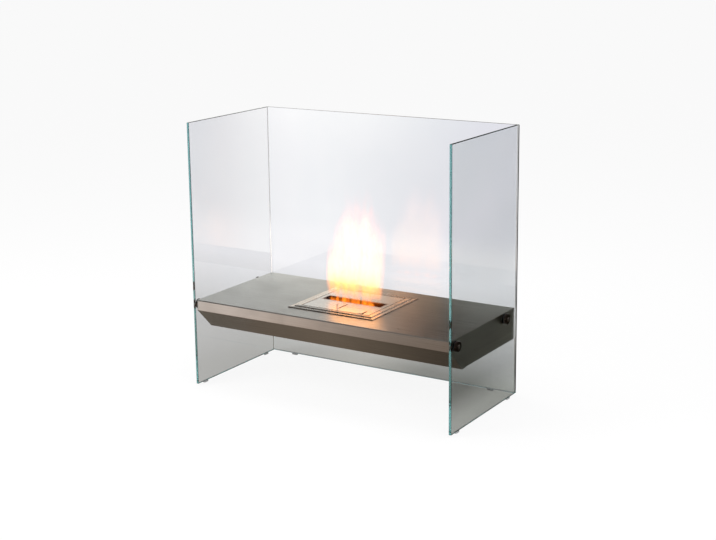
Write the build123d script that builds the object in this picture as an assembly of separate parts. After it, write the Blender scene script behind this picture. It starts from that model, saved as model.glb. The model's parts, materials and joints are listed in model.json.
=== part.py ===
"""Free-standing bioethanol fireplace.

Three toughened glass panels stand in a U, open at the front.  A folded stainless hearth hangs
between them on point fixings, and a drop-in burner with a sliding shutter sits in its deck.

Millimetres.  X runs along the width, Y from the open front to the back, Z up.  The origin is on
the floor, under the centre of the whole object.
"""
from build123d import *
import math
import os

# ---------------------------------------------------------------- driving dimensions
# glass
GLASS_WIDTH = 1100.0          # outside width over the two side panels
GLASS_HEIGHT = 1004.0
SIDE_GLASS_DEPTH = 499.0
GLASS_THICKNESS = 10.0
GLASS_ARRIS = 1.0             # polished bevel on every edge
CORNER_JOINT = 1.0            # clear joint between a side panel and the back panel

# feet under the glass
FOOT_HEIGHT = 6.0
FOOT_LENGTH = 26.0
SIDE_FOOT_INSET = 50.0        # foot centre from each end of a side panel
BACK_FOOT_INSET = 110.0       # foot centre from each end of the back panel

# hearth
HEARTH_TOP = 336.5            # deck surface above the floor
HEARTH_HEIGHT = 120.0
FASCIA_HEIGHT = 40.0
SLOPE_RUN = 80.0              # how far the sloped underside runs back
FRONT_RECESS = 8.0            # fascia behind the front edges of the glass
GLASS_TO_HEARTH = 2.0         # gap held by the inner gaskets
SHEET = 2.0
BEND_RADIUS = 3.0             # at the middle of the sheet
REAR_SKIRT = 15.0
RETURN_FLANGE = 28.0
BASE_SETBACK = 6.0            # front edge of the bottom sheet behind the foot of the slope
BASE_SCREW_COUNT = 4
BASE_SCREW_INSET = 138.0      # first and last from the hearth's ends
END_PLATE = 3.0
END_FLANGE = 25.0
END_FLANGE_RELIEF = 4.0       # flange ends clear of the plate's rounded corners
END_SCREW_INSET = 90.0        # from the rear of the hearth
END_SCREW_SPACING = 180.0
STIFFENER_WIDTH = 25.0
STIFFENER_DEPTH = 30.0
STIFFENER_FROM_WELL = 16.0    # clear of the burner well's flange

# point fixings through the glass
DISC_DIAMETER = 38.0
DISC_THICKNESS = 8.5
DISC_BEVEL = 1.2
GASKET_DIAMETER = 36.0
OUTER_GASKET = 1.5
SCREW_DIAMETER = 8.0
SCREW_HEAD_DIAMETER = 15.0
SCREW_HEAD_HEIGHT = 3.0
SCREW_HEAD_EDGE = 1.2         # straight part of the head under its dome
SCREW_SOCKET = 5.0            # across flats
SCREW_SOCKET_DEPTH = 2.0
SCREW_TIP = 2.0               # thread past the nut
GLASS_HOLE = 16.0
NUT_ACROSS_FLATS = 13.0
NUT_HEIGHT = 6.5
SIDE_FIXING_DROP = 21.5       # below the deck surface
FRONT_FIXING_INSET = 35.0     # from the front edge of the glass
REAR_FIXING_INSET = 84.0      # from the rear edge of the side glass
BACK_FIXING_DROP = 66.0
BACK_FIXING_SPACING = 800.0

# burner
LID_WIDTH = 287.0
LID_DEPTH = 259.0
LID_THICKNESS = 3.0
LID_GROOVE = 2.5              # shadow gap around the lid
RIM_SIDE_BORDER = 18.5        # rim left and right of the groove
RIM_END_BORDER = 15.0         # rim in front of and behind the groove
RIM_THICKNESS = 2.5
RIM_OVERLAP = 9.0             # how far the rim lies over the surround
SURROUND_SIDE_BORDER = 17.0   # surround left and right of the rim
SURROUND_END_BORDER = 18.5    # surround in front of and behind the rim
SURROUND_THICKNESS = 3.0
TRIM_ARRIS = 0.5              # broken edges of the surround, rim and lid
LEDGE_WIDTH = 10.0
LEDGE_THICKNESS = 2.0
WEB_THICKNESS = 2.0
BURNER_BACK_OF_CENTRE = 8.5   # burner centre behind the middle of the deck
COLLAR_WALL = 2.0
COLLAR_DEPTH = 8.0
COLLAR_CLEARANCE = 1.0        # between the collar and the deck cut-out
TANK_HEIGHT = 75.0
TANK_WALL = 1.5
TANK_CORNER = 6.0
TANK_INSET = 4.0              # tank wall inside the tank flange
WELL_FLOOR_ROOM = 21.0        # between the tank and the floor of the well
WELL_WALL = 1.5
WELL_FLANGE = 15.5
WELL_CLEARANCE = 3.0          # between the collar and the well wall
WELL_STUD_SPACING = 150.0     # between the two studs along each side

# flame slot and shutter
SLOT_SIDE_MARGIN = 18.5       # lid left and right of the slot
SLOT_WIDTH = 48.0
SLOT_BACK_OF_CENTRE = 5.0
SHUTTER_OVERLAP = 6.0         # in front of and behind the closed slot
SHUTTER_SIDE_OVERLAP = 3.0
SHUTTER_THICKNESS = 2.0
SHUTTER_SET_BACK = 2.5        # open shutter edge in front of the slot
TAB_FROM_LEDGE = 12.0         # middle of the tab behind the front ledge, shutter open
TAB_THICKNESS = 3.0
TAB_WIDTH = 10.0
TAB_HEIGHT = 20.0             # above the lid
TAB_ROUND = 4.0
TAB_FOOT_DEPTH = 14.0
TAB_FOOT_WIDTH = 18.0
TAB_FOOT_THICKNESS = 1.5
SLIT_WIDTH = 5.0
SLIT_END_ROOM = 3.0
TONGUE_WIDTH = 26.0
GUIDE_WALL = 5.5
GUIDE_LIP = 10.0
GUIDE_LIP_THICKNESS = 1.2
GUIDE_END_ROOM = 3.0          # guide past the shutter at both ends of its travel
NOTCH_FROM_SIDE = 28.0        # lifting notch in from the lid's right-hand edge
NOTCH_LEG = 38.0
NOTCH_FOOT = 18.0
NOTCH_WIDTH = 6.0
TROUGH_HEIGHT = 42.0
TROUGH_WALL = 1.2
TROUGH_MARGIN = 6.0           # trough past the slot on each side
TROUGH_HOLE = 10.0
TROUGH_HOLES = 9
WICK_BELOW_LID = 23.5         # top of the wick under the lid surface

# small fastenings inside the hearth
SMALL_SCREW = 4.0
SMALL_HEAD = 8.0
SMALL_HEAD_HEIGHT = 2.0
SMALL_NUT_AF = 7.0
SMALL_NUT_HEIGHT = 3.2
SMALL_TIP = 1.0               # thread past the nut
RIVET = 2.4
RIVET_HEAD = 4.0
RIVET_HEAD_HEIGHT = 0.8
RIVET_EDGE = 0.4              # rivet head inside the edge of the tab's foot

# fits
FIT = 0.3                     # free clearance between neighbours
HOLE_ROOM = 0.3               # on the radius, around a shank
PAST = 1.0                    # how far a cut runs past the face it opens

# ---------------------------------------------------------------- worked out from them
FIXING_REACH = OUTER_GASKET + DISC_THICKNESS + SCREW_HEAD_HEIGHT
TOTAL_DEPTH = SIDE_GLASS_DEPTH + CORNER_JOINT + GLASS_THICKNESS + FIXING_REACH
FRONT = -TOTAL_DEPTH / 2                      # front edges of the side glass
SIDE_REAR = FRONT + SIDE_GLASS_DEPTH          # rear edges of the side glass
BACK_FACE = SIDE_REAR + CORNER_JOINT          # front face of the back glass
BACK_OUTER = BACK_FACE + GLASS_THICKNESS
GLASS_OUTER = GLASS_WIDTH / 2
GLASS_INNER = GLASS_OUTER - GLASS_THICKNESS
GLASS_BASE = FOOT_HEIGHT

HEARTH_END = GLASS_INNER - GLASS_TO_HEARTH
HEARTH_FRONT = FRONT + FRONT_RECESS
HEARTH_REAR = BACK_FACE - GLASS_TO_HEARTH
HEARTH_BOTTOM = HEARTH_TOP - HEARTH_HEIGHT
FASCIA_BOTTOM = HEARTH_TOP - FASCIA_HEIGHT
DECK_UNDER = HEARTH_TOP - SHEET
BASE_TOP = HEARTH_BOTTOM + 2 * SHEET
END_INNER = HEARTH_END - END_PLATE

BURNER_Y = (HEARTH_FRONT + HEARTH_REAR) / 2 + BURNER_BACK_OF_CENTRE
RIM_SEAT = HEARTH_TOP + SURROUND_THICKNESS
LID_TOP = RIM_SEAT + RIM_THICKNESS
LID_UNDER = LID_TOP - LID_THICKNESS
LEDGE_UNDER = LID_UNDER - LEDGE_THICKNESS
RIM_OPENING = (LID_WIDTH + 2 * LID_GROOVE, LID_DEPTH + 2 * LID_GROOVE)
RIM_SIZE = (RIM_OPENING[0] + 2 * RIM_SIDE_BORDER, RIM_OPENING[1] + 2 * RIM_END_BORDER)
SURROUND_SIZE = (RIM_SIZE[0] + 2 * SURROUND_SIDE_BORDER, RIM_SIZE[1] + 2 * SURROUND_END_BORDER)
WEB_OUTER = (RIM_OPENING[0] + 2 * WEB_THICKNESS, RIM_OPENING[1] + 2 * WEB_THICKNESS)
LEDGE_OPENING = (RIM_OPENING[0] - 2 * LEDGE_WIDTH, RIM_OPENING[1] - 2 * LEDGE_WIDTH)
SURROUND_OPENING = (RIM_SIZE[0] - 2 * RIM_OVERLAP, RIM_SIZE[1] - 2 * RIM_OVERLAP)
COLLAR_OUTER = (SURROUND_OPENING[0] + 2 * COLLAR_WALL, SURROUND_OPENING[1] + 2 * COLLAR_WALL)
DECK_OPENING = (COLLAR_OUTER[0] + 2 * COLLAR_CLEARANCE, COLLAR_OUTER[1] + 2 * COLLAR_CLEARANCE)
WELL_INNER = (COLLAR_OUTER[0] + 2 * WELL_CLEARANCE, COLLAR_OUTER[1] + 2 * WELL_CLEARANCE)
WELL_OUTER = (WELL_INNER[0] + 2 * WELL_WALL, WELL_INNER[1] + 2 * WELL_WALL)
WELL_RIM = (WELL_OUTER[0] + 2 * WELL_FLANGE, WELL_OUTER[1] + 2 * WELL_FLANGE)
TANK_OUTER = (RIM_OPENING[0] - 2 * TANK_INSET, RIM_OPENING[1] - 2 * TANK_INSET)
TANK_INNER = (TANK_OUTER[0] - 2 * TANK_WALL, TANK_OUTER[1] - 2 * TANK_WALL)
TANK_BOTTOM = LEDGE_UNDER - TANK_HEIGHT
WELL_FLOOR = TANK_BOTTOM - WELL_FLOOR_ROOM
STIFFENER_REACH = WELL_RIM[1] / 2 + STIFFENER_FROM_WELL

SLOT_LENGTH = LID_WIDTH - 2 * SLOT_SIDE_MARGIN
SLOT_Y = BURNER_Y + SLOT_BACK_OF_CENTRE
SLOT_FRONT = SLOT_Y - SLOT_WIDTH / 2
SHUTTER_DEPTH = SLOT_WIDTH + 2 * SHUTTER_OVERLAP
SHUTTER_TRAVEL = SHUTTER_DEPTH - SHUTTER_OVERLAP + SHUTTER_SET_BACK
SHUTTER_REAR = SLOT_FRONT - SHUTTER_SET_BACK
SHUTTER_FRONT = SHUTTER_REAR - SHUTTER_DEPTH
SHUTTER_HALF = SLOT_LENGTH / 2 + SHUTTER_SIDE_OVERLAP
SHUTTER_TOP = LID_UNDER - FIT
SHUTTER_UNDER = SHUTTER_TOP - SHUTTER_THICKNESS
TAB_Y = BURNER_Y - LEDGE_OPENING[1] / 2 + TAB_FROM_LEDGE
GUIDE_UNDER = SHUTTER_UNDER - FIT - GUIDE_LIP_THICKNESS
TROUGH_TOP = GUIDE_UNDER - FIT
TROUGH_SIZE = (SLOT_LENGTH + 2 * TROUGH_MARGIN, SLOT_WIDTH + 2 * TROUGH_MARGIN)
ABSORBER_TOP = TROUGH_TOP - TROUGH_HEIGHT
SCREW_HOLE = SCREW_DIAMETER / 2 + HOLE_ROOM   # radius of a clearance hole
SMALL_HOLE = SMALL_SCREW / 2 + HOLE_ROOM
RIVET_HOLE = RIVET / 2 + HOLE_ROOM
UP = (0, 0, 1)


# ---------------------------------------------------------------- helpers
def block(x, y, z):
    """A box from (low, high) pairs along X, Y and Z."""
    size = [high - low for low, high in (x, y, z)]
    middle = [(high + low) / 2 for low, high in (x, y, z)]
    return Pos(*middle) * Box(*size)


def centred(size, z, y=None):
    """A box of the given width and depth about the burner's centre, between two heights."""
    y = BURNER_Y if y is None else y
    return block((-size[0] / 2, size[0] / 2), (y - size[1] / 2, y + size[1] / 2), z)


def ring(outer, inner, z):
    """A rectangular ring about the burner's centre."""
    return centred(outer, z) - centred(inner, z)


def rod(centre, axis, radius, start, end):
    """A cylinder along an axis, between two distances from the centre point."""
    plane = Plane(origin=Vector(*centre) + Vector(*axis) * start, z_dir=Vector(*axis))
    return extrude(plane * Circle(radius), end - start)


def hexagon(centre, axis, across_flats, start, end):
    """A hexagonal prism along an axis."""
    plane = Plane(origin=Vector(*centre) + Vector(*axis) * start, z_dir=Vector(*axis))
    corner_radius = across_flats / math.sqrt(3)
    return extrude(plane * RegularPolygon(corner_radius, 6), end - start)


def inset(points, distance):
    """Move each line of an open (y, z) outline sideways, to the left of its direction."""
    lines = []
    for start, end in zip(points, points[1:]):
        run = (Vector(*end) - Vector(*start)).normalized()
        lines.append((Vector(*start) + Vector(-run.Y, run.X) * distance, run))
    moved = [lines[0][0]]
    for (p, r), (q, s) in zip(lines, lines[1:]):
        step = ((q - p).X * s.Y - (q - p).Y * s.X) / (r.X * s.Y - r.Y * s.X)
        moved.append(p + r * step)
    origin, run = lines[-1]
    moved.append(origin + run * (Vector(*points[-1]) - origin).dot(run))
    return [(v.X, v.Y) for v in moved]


def bent_sheet(outer_points, half_length):
    """Sheet metal whose outer surface follows a (y, z) outline, extruded along X."""
    middle = inset(outer_points, SHEET / 2)
    path = FilletPolyline(*middle, radius=BEND_RADIUS)
    section = Plane.YZ * trace(path, SHEET)
    return Pos(-half_length, 0, 0) * extrude(section, 2 * half_length)


def save(shape, node):
    """Write one sub-part."""
    export_step(shape, f"parts/{node}.step")


# ---------------------------------------------------------------- glass, joints and feet
def side_fixing_places(side):
    """Centres of a side panel's fixings on its outer face, and the outward direction."""
    z = HEARTH_TOP - SIDE_FIXING_DROP
    front = FRONT + FRONT_FIXING_INSET
    rear = SIDE_REAR - REAR_FIXING_INSET
    return [((side * GLASS_OUTER, y, z), (side, 0, 0)) for y in (front, rear)]


def back_fixing_places():
    """The same for the back panel."""
    z = HEARTH_TOP - BACK_FIXING_DROP
    half = BACK_FIXING_SPACING / 2
    return [((x, BACK_OUTER, z), (0, 1, 0)) for x in (-half, half)]


def glass_panel(x, y, places):
    """A panel with bevelled edges and a hole for each fixing."""
    panel = block(x, y, (GLASS_BASE, GLASS_BASE + GLASS_HEIGHT))
    panel = chamfer(panel.edges(), GLASS_ARRIS)
    for centre, axis in places:
        panel -= rod(centre, axis, GLASS_HOLE / 2, -GLASS_THICKNESS - PAST, PAST)
    return panel


def foot(x, y, along_x):
    """An oblong pad with rounded ends under a panel."""
    pad = extrude(SlotOverall(FOOT_LENGTH, GLASS_THICKNESS), FOOT_HEIGHT)
    return Pos(x, y, 0) * Rot(0, 0, 0 if along_x else 90) * pad


def corner_joint(side):
    """The clear strip between a side panel's rear edge and the back panel."""
    x = sorted((side * (GLASS_INNER + GLASS_ARRIS), side * (GLASS_OUTER - GLASS_ARRIS)))
    z = (GLASS_BASE + GLASS_ARRIS, GLASS_BASE + GLASS_HEIGHT - GLASS_ARRIS)
    return block(x, (SIDE_REAR, BACK_FACE), z)


# ---------------------------------------------------------------- point fixings
def disc(centre, axis):
    """The round plate outside the glass."""
    start = OUTER_GASKET
    end = start + DISC_THICKNESS
    plate = rod(centre, axis, DISC_DIAMETER / 2, start, end)
    direction = Vector(*axis)
    outer_face = max(plate.faces(), key=lambda f: f.center().dot(direction))
    plate = chamfer(outer_face.edges(), DISC_BEVEL)
    return plate - rod(centre, axis, SCREW_HOLE, start - PAST, end + PAST)


def fixing_screw(centre, axis, inner_stack):
    """The button-head screw with a hexagon socket, through to the nut inside the hearth."""
    seat = OUTER_GASKET + DISC_THICKNESS
    head = rod(centre, axis, SCREW_HEAD_DIAMETER / 2, seat, seat + SCREW_HEAD_HEIGHT)
    direction = Vector(*axis)
    outer_face = max(head.faces(), key=lambda f: f.center().dot(direction))
    head = fillet(outer_face.edges(), SCREW_HEAD_HEIGHT - SCREW_HEAD_EDGE)
    tip = -inner_stack - NUT_HEIGHT - SCREW_TIP
    shank = rod(centre, axis, SCREW_DIAMETER / 2, tip, seat)
    top = seat + SCREW_HEAD_HEIGHT
    socket = hexagon(centre, axis, SCREW_SOCKET, top - SCREW_SOCKET_DEPTH, top + PAST)
    return head + shank - socket


def washer(centre, axis, diameter, start, end):
    """A soft washer with room for the screw."""
    body = rod(centre, axis, diameter / 2, start, end)
    return body - rod(centre, axis, SCREW_HOLE, start - PAST, end + PAST)


def fixing_set(places, wall, gap):
    """All pieces of one panel's fixings; wall is the sheet behind the gap."""
    inner_face = -GLASS_THICKNESS
    stack = GLASS_THICKNESS + gap + wall
    nut_end = -stack - NUT_HEIGHT
    pieces = {"discs": [], "screws": [], "outer_gaskets": [], "inner_gaskets": [], "bushes": [], "nuts": []}
    for centre, axis in places:
        pieces["discs"].append(disc(centre, axis))
        pieces["screws"].append(fixing_screw(centre, axis, stack))
        pieces["outer_gaskets"].append(washer(centre, axis, GASKET_DIAMETER, 0, OUTER_GASKET))
        pieces["inner_gaskets"].append(washer(centre, axis, GASKET_DIAMETER, inner_face - gap, inner_face))
        pieces["bushes"].append(washer(centre, axis, GLASS_HOLE - 2 * HOLE_ROOM, inner_face, 0))
        nut = hexagon(centre, axis, NUT_ACROSS_FLATS, nut_end, -stack)
        pieces["nuts"].append(nut - rod(centre, axis, SCREW_HOLE, nut_end - PAST, PAST - stack))
    return pieces


# ---------------------------------------------------------------- hearth
SHELL_OUTLINE = [
    (HEARTH_REAR, HEARTH_TOP - REAR_SKIRT),
    (HEARTH_REAR, HEARTH_TOP),
    (HEARTH_FRONT, HEARTH_TOP),
    (HEARTH_FRONT, FASCIA_BOTTOM),
    (HEARTH_FRONT + SLOPE_RUN, HEARTH_BOTTOM),
    (HEARTH_FRONT + SLOPE_RUN + RETURN_FLANGE, HEARTH_BOTTOM),
]
BASE_FRONT = HEARTH_FRONT + SLOPE_RUN + BASE_SETBACK
WALL_OUTER = HEARTH_REAR - SHEET
LAP_MIDDLE = (BASE_FRONT + HEARTH_FRONT + SLOPE_RUN + RETURN_FLANGE) / 2
BASE_SCREW_PITCH = 2 * (HEARTH_END - BASE_SCREW_INSET) / (BASE_SCREW_COUNT - 1)
SHELL_SCREWS = [(BASE_SCREW_INSET - HEARTH_END + i * BASE_SCREW_PITCH, LAP_MIDDLE, HEARTH_BOTTOM)
                for i in range(BASE_SCREW_COUNT)]
END_SCREW_X = END_INNER - END_FLANGE / 2
END_SCREW_REAR = HEARTH_REAR - END_SCREW_INSET
END_SCREWS = [(side * END_SCREW_X, y, HEARTH_BOTTOM + SHEET)
              for side in (-1, 1) for y in (END_SCREW_REAR, END_SCREW_REAR - END_SCREW_SPACING)]


def hearth_shell():
    """Deck, fascia and sloped underside, folded from one sheet."""
    shell = bent_sheet(SHELL_OUTLINE, HEARTH_END)
    shell -= centred(DECK_OPENING, (DECK_UNDER - PAST, HEARTH_TOP + PAST))
    for place in SHELL_SCREWS:
        shell -= rod(place, UP, SMALL_HOLE, -PAST, SHEET + PAST)
    return shell


def hearth_base():
    """Bottom and rear wall, folded from a second sheet and lapped inside the shell."""
    outline = [
        (BASE_FRONT, HEARTH_BOTTOM + SHEET),
        (WALL_OUTER, HEARTH_BOTTOM + SHEET),
        (WALL_OUTER, DECK_UNDER - BEND_RADIUS),
    ]
    base = bent_sheet(outline, HEARTH_END)
    for centre, axis in back_fixing_places():
        base -= rod(centre, axis, SCREW_HOLE, -GLASS_THICKNESS - GLASS_TO_HEARTH - 2 * SHEET - PAST, 0)
    for place in SHELL_SCREWS + END_SCREWS:
        base -= rod(place, UP, SMALL_HOLE, -PAST, 2 * SHEET + PAST)
    return base


def end_plate(side):
    """A flanged plate that closes one end of the hearth and carries it on the glass."""
    slope_drop = HEARTH_HEIGHT - FASCIA_HEIGHT
    slope_turn = math.atan2(SLOPE_RUN, slope_drop)
    floor = BASE_TOP
    front = HEARTH_FRONT + SHEET + FIT
    rear = WALL_OUTER - SHEET - FIT
    slope_top = FASCIA_BOTTOM + (SHEET + FIT) * math.tan(slope_turn / 2)
    slope_run = (slope_top - floor) * SLOPE_RUN / slope_drop
    outline = [(rear, DECK_UNDER), (front, DECK_UNDER), (front, slope_top),
               (front + slope_run, floor), (rear, floor)]
    face = make_face(Polyline(*outline, close=True).edges())
    face = fillet(face.vertices(), BEND_RADIUS)
    plate = Pos(END_INNER, 0, 0) * extrude(Plane.YZ * face, END_PLATE)
    flange_x = (END_INNER - END_FLANGE, HEARTH_END)
    flange_rear = rear - END_FLANGE_RELIEF
    top_y = (front + END_FLANGE_RELIEF, flange_rear)
    bottom_y = (front + slope_run + END_FLANGE_RELIEF, flange_rear)
    plate += block(flange_x, top_y, (DECK_UNDER - END_PLATE, DECK_UNDER))
    plate += block(flange_x, bottom_y, (floor, floor + END_PLATE))
    if side < 0:
        plate = mirror(plate, about=Plane.YZ)
    for centre, axis in side_fixing_places(side):
        plate -= rod(centre, axis, SCREW_HOLE, -GLASS_THICKNESS - GLASS_TO_HEARTH - END_PLATE - PAST, 0)
    for place in END_SCREWS:
        if place[0] * side > 0:
            plate -= rod(place, UP, SMALL_HOLE, 0, SHEET + END_PLATE + PAST)
    return plate


def deck_stiffener(y, turn):
    """An angle section under the deck."""
    half = END_INNER - END_FLANGE - FIT
    leg = sorted((y, y + turn * SHEET))
    foot_y = sorted((y, y + turn * STIFFENER_WIDTH))
    upright = block((-half, half), leg, (DECK_UNDER - STIFFENER_DEPTH, DECK_UNDER))
    return upright + block((-half, half), foot_y, (DECK_UNDER - SHEET, DECK_UNDER))


def small_screw(place, grip):
    """A pan-head screw put in from below."""
    head = rod(place, UP, SMALL_HEAD / 2, -SMALL_HEAD_HEIGHT, 0)
    return head + rod(place, UP, SMALL_SCREW / 2, -SMALL_HEAD_HEIGHT, grip + SMALL_NUT_HEIGHT + SMALL_TIP)


def small_nut(place, start):
    """A hexagon nut on a small screw or stud."""
    end = start + SMALL_NUT_HEIGHT
    return hexagon(place, UP, SMALL_NUT_AF, start, end) - rod(place, UP, SMALL_HOLE, start - PAST, end + PAST)


def well_stud_places():
    """Studs under the deck that hold the burner well, two along each side."""
    x = (WELL_OUTER[0] + WELL_FLANGE) / 2
    y = (WELL_OUTER[1] + WELL_FLANGE) / 2
    half = WELL_STUD_SPACING / 2
    pairs = [(x, half), (half, y)]
    return [(sx * px, BURNER_Y + sy * py, DECK_UNDER - WELL_WALL)
            for px, py in pairs for sx in (-1, 1) for sy in (-1, 1)]


def surround():
    """The trim frame on the deck, with a collar down through the cut-out."""
    frame = ring(SURROUND_SIZE, SURROUND_OPENING, (HEARTH_TOP, RIM_SEAT))
    frame = chamfer(frame.faces().sort_by(Axis.Z)[-1].outer_wire().edges(), TRIM_ARRIS)
    return frame + ring(COLLAR_OUTER, SURROUND_OPENING, (HEARTH_TOP - COLLAR_DEPTH, RIM_SEAT))


def burner_well():
    """The sheet box under the deck that the burner hangs in."""
    well = centred(WELL_OUTER, (WELL_FLOOR - WELL_WALL, DECK_UNDER))
    well += centred(WELL_RIM, (DECK_UNDER - WELL_WALL, DECK_UNDER))
    well -= centred(WELL_INNER, (WELL_FLOOR, DECK_UNDER + PAST))
    for place in well_stud_places():
        well -= rod(place, UP, SMALL_HOLE, -PAST, WELL_WALL + PAST)
    return well


# ---------------------------------------------------------------- burner
def rim():
    """The frame that hangs the burner on the surround and carries the lid on a ledge."""
    frame = ring(RIM_SIZE, RIM_OPENING, (RIM_SEAT, LID_TOP))
    frame = chamfer(frame.faces().sort_by(Axis.Z)[-1].outer_wire().edges(), TRIM_ARRIS)
    frame += ring(WEB_OUTER, RIM_OPENING, (LEDGE_UNDER, LID_TOP))
    return frame + ring(WEB_OUTER, LEDGE_OPENING, (LEDGE_UNDER, LID_UNDER))


def tank():
    """The open fuel tank, hung under the rim by its flange."""
    body = centred(TANK_OUTER, (TANK_BOTTOM, LEDGE_UNDER))
    body = fillet(body.edges().filter_by(Axis.Z), TANK_CORNER)
    body += centred(RIM_OPENING, (LEDGE_UNDER - TANK_WALL, LEDGE_UNDER))
    inside = centred(TANK_INNER, (TANK_BOTTOM + TANK_WALL, LEDGE_UNDER + PAST))
    inside = fillet(inside.edges().filter_by(Axis.Z), TANK_CORNER - TANK_WALL)
    return body - inside


def lid():
    """The plate with the flame slot, the slit for the shutter tab and the lifting notch."""
    plate = centred((LID_WIDTH, LID_DEPTH), (LID_UNDER, LID_TOP))
    plate = chamfer(plate.faces().sort_by(Axis.Z)[-1].edges(), TRIM_ARRIS)
    cut_z = (LID_UNDER - PAST, LID_TOP + PAST)
    plate -= centred((SLOT_LENGTH, SLOT_WIDTH), cut_z, SLOT_Y)
    slit_front = TAB_Y - TAB_WIDTH / 2 - SLIT_END_ROOM
    slit_rear = TAB_Y + SHUTTER_TRAVEL + TAB_WIDTH / 2 + SLIT_END_ROOM
    plate -= block((-SLIT_WIDTH / 2, SLIT_WIDTH / 2), (slit_front, slit_rear), cut_z)
    front = BURNER_Y - LID_DEPTH / 2
    right = LID_WIDTH / 2 - NOTCH_FROM_SIDE
    plate -= block((right - NOTCH_WIDTH, right), (front - PAST, front + NOTCH_LEG), cut_z)
    plate -= block((right - NOTCH_FOOT, right), (front - PAST, front + NOTCH_WIDTH), cut_z)
    return plate


def shutter():
    """The sliding plate under the lid, with a tongue forward to its tab."""
    z = (SHUTTER_UNDER, SHUTTER_TOP)
    plate = block((-SHUTTER_HALF, SHUTTER_HALF), (SHUTTER_FRONT, SHUTTER_REAR), z)
    tongue_end = TAB_Y - TAB_FOOT_DEPTH / 2
    plate += block((-TONGUE_WIDTH / 2, TONGUE_WIDTH / 2), (tongue_end, SHUTTER_FRONT + PAST), z)
    hole_x = TAB_THICKNESS / 2 + FIT
    hole_y = TAB_WIDTH / 2 + FIT
    cut_z = (SHUTTER_UNDER - PAST, SHUTTER_TOP + PAST)
    plate -= block((-hole_x, hole_x), (TAB_Y - hole_y, TAB_Y + hole_y), cut_z)
    for place in tab_rivet_places():
        plate -= rod(place, UP, RIVET_HOLE, -PAST, SHUTTER_THICKNESS + PAST)
    return plate


def tab_rivet_places():
    """Two rivets, one each side of the tab, at the underside of the tongue."""
    x = (TAB_FOOT_WIDTH - RIVET_HEAD) / 2 - RIVET_EDGE
    return [(side * x, TAB_Y, SHUTTER_UNDER) for side in (-1, 1)]


def shutter_tab():
    """The upright tab with its foot under the tongue."""
    foot_under = SHUTTER_UNDER - TAB_FOOT_THICKNESS
    web = block((-TAB_THICKNESS / 2, TAB_THICKNESS / 2), (TAB_Y - TAB_WIDTH / 2, TAB_Y + TAB_WIDTH / 2),
                (foot_under, LID_TOP + TAB_HEIGHT))
    upper = web.edges().filter_by(Axis.X).sort_by(Axis.Z)[-2:]
    web = fillet(upper, min(TAB_ROUND, TAB_WIDTH / 2 - FIT))
    tab = web + block((-TAB_FOOT_WIDTH / 2, TAB_FOOT_WIDTH / 2),
                      (TAB_Y - TAB_FOOT_DEPTH / 2, TAB_Y + TAB_FOOT_DEPTH / 2),
                      (foot_under, SHUTTER_UNDER))
    for place in tab_rivet_places():
        tab -= rod(place, UP, RIVET_HOLE, -TAB_FOOT_THICKNESS - PAST, PAST)
    return tab


def tab_rivet(place):
    """A rivet through the foot and the tongue."""
    head = rod(place, UP, RIVET_HEAD / 2, -TAB_FOOT_THICKNESS - RIVET_HEAD_HEIGHT, -TAB_FOOT_THICKNESS)
    return head + rod(place, UP, RIVET / 2, -TAB_FOOT_THICKNESS, SHUTTER_THICKNESS)


def guide(side):
    """A stepped rail under the lid that the shutter's end slides in."""
    inner = SHUTTER_HALF + FIT
    outer = inner + GUIDE_WALL
    y = (SHUTTER_FRONT - GUIDE_END_ROOM, SHUTTER_REAR + SHUTTER_TRAVEL + GUIDE_END_ROOM)
    wall = block(sorted((side * inner, side * outer)), y, (GUIDE_UNDER, LID_UNDER))
    lip_x = sorted((side * (outer - GUIDE_LIP), side * outer))
    return wall + block(lip_x, y, (GUIDE_UNDER, GUIDE_UNDER + GUIDE_LIP_THICKNESS))


def trough():
    """The flame trough under the slot, with feed holes in its floor."""
    box = centred(TROUGH_SIZE, (ABSORBER_TOP, TROUGH_TOP), SLOT_Y)
    inner = (TROUGH_SIZE[0] - 2 * TROUGH_WALL, TROUGH_SIZE[1] - 2 * TROUGH_WALL)
    box -= centred(inner, (ABSORBER_TOP + TROUGH_WALL, TROUGH_TOP + PAST), SLOT_Y)
    pitch = SLOT_LENGTH / TROUGH_HOLES
    for i in range(TROUGH_HOLES):
        x = (i - (TROUGH_HOLES - 1) / 2) * pitch
        box -= rod((x, SLOT_Y, ABSORBER_TOP), UP, TROUGH_HOLE / 2, -PAST, TROUGH_WALL + PAST)
    return box


def wick():
    """The ceramic-fibre strip in the trough."""
    room = 2 * (TROUGH_WALL + FIT)
    size = (TROUGH_SIZE[0] - room, TROUGH_SIZE[1] - room)
    return centred(size, (ABSORBER_TOP + TROUGH_WALL, LID_TOP - WICK_BELOW_LID), SLOT_Y)


def absorber():
    """The fibre block that holds the fuel in the tank."""
    size = (TANK_INNER[0] - 2 * FIT, TANK_INNER[1] - 2 * FIT)
    pad = centred(size, (TANK_BOTTOM + TANK_WALL, ABSORBER_TOP))
    return fillet(pad.edges().filter_by(Axis.Z), TANK_CORNER - TANK_WALL)


# ---------------------------------------------------------------- write every sub-part
os.makedirs("parts", exist_ok=True)

glass_x = (-GLASS_OUTER, GLASS_OUTER)
save(glass_panel(glass_x, (BACK_FACE, BACK_OUTER), back_fixing_places()), "glass_panel_back")

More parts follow.
